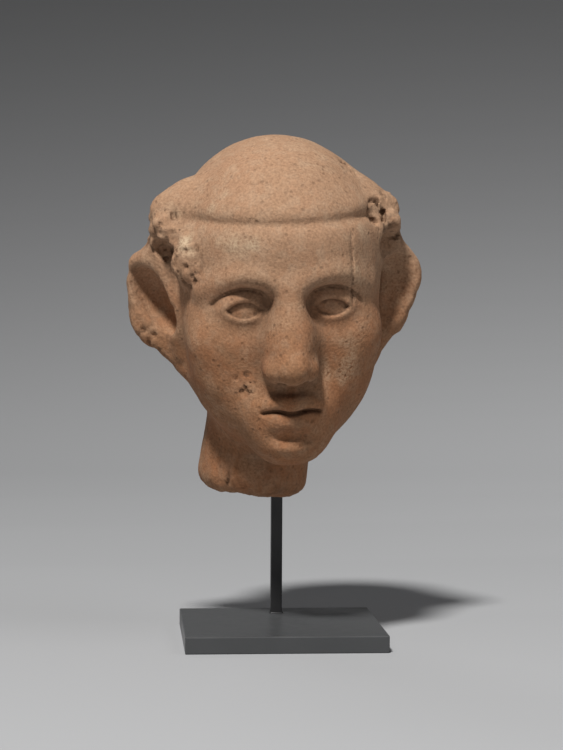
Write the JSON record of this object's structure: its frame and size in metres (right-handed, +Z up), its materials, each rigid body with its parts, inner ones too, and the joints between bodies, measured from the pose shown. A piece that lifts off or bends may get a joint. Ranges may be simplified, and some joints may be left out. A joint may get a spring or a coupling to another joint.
{
  "type": "grotesque figurine head on a stand",
  "caption": "Fired clay head of a grotesque figurine with outsized ears, hair at the temples and a broken neck, held up by a slim square bar on a small steel plate.",
  "frame": {"origin": "middle of the stand plate's underside", "axes": "+Z up, the face looks towards -Y, +X is the viewer's right when facing it"},
  "size_m": [0.0827, 0.075, 0.1411],
  "materials": {
    "terracotta": "matt, unglazed, weathered",
    "bar_paint": "satin dark grey paint",
    "plate_paint": "satin dark grey paint"
  },
  "bodies": {
    "root": {"terracotta_head": "terracotta", "support_bar": "bar_paint", "base_plate": "plate_paint"}
  },
  "joints": []
}
